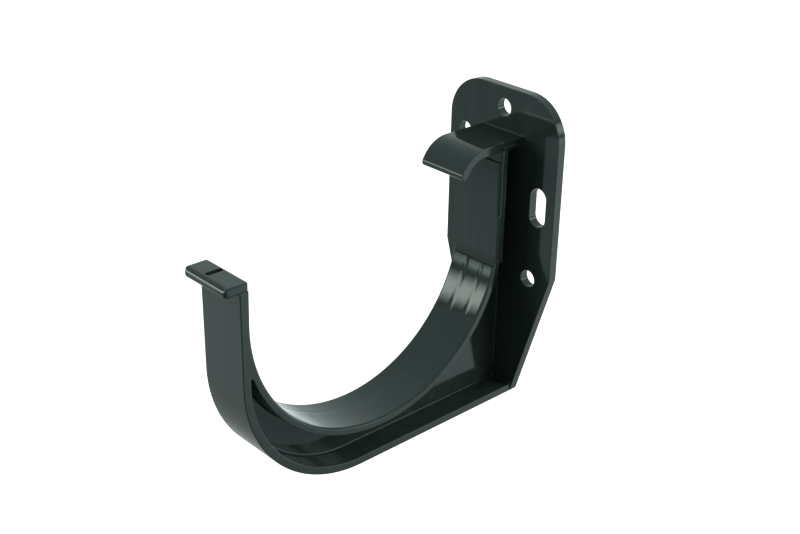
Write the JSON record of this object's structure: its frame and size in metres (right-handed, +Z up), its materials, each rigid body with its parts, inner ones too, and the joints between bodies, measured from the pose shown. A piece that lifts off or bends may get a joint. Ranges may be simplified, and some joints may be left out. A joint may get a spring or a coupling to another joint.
{
  "type": "gutter bracket",
  "caption": "Moulded fascia bracket with a round cradle, rear hook and front lip that carries a half-round rainwater gutter on a wall board.",
  "frame": {"origin": "foot of the plate on its back face, at the middle of its width", "axes": "+X along the gutter, +Y into the wall, +Z up; the gutter side is -Y"},
  "size_m": [0.052, 0.1309, 0.118],
  "materials": {
    "moulding": "smooth, evenly glossy dark grey uPVC"
  },
  "bodies": {
    "root": {"gutter_bracket": "moulding"}
  },
  "joints": []
}
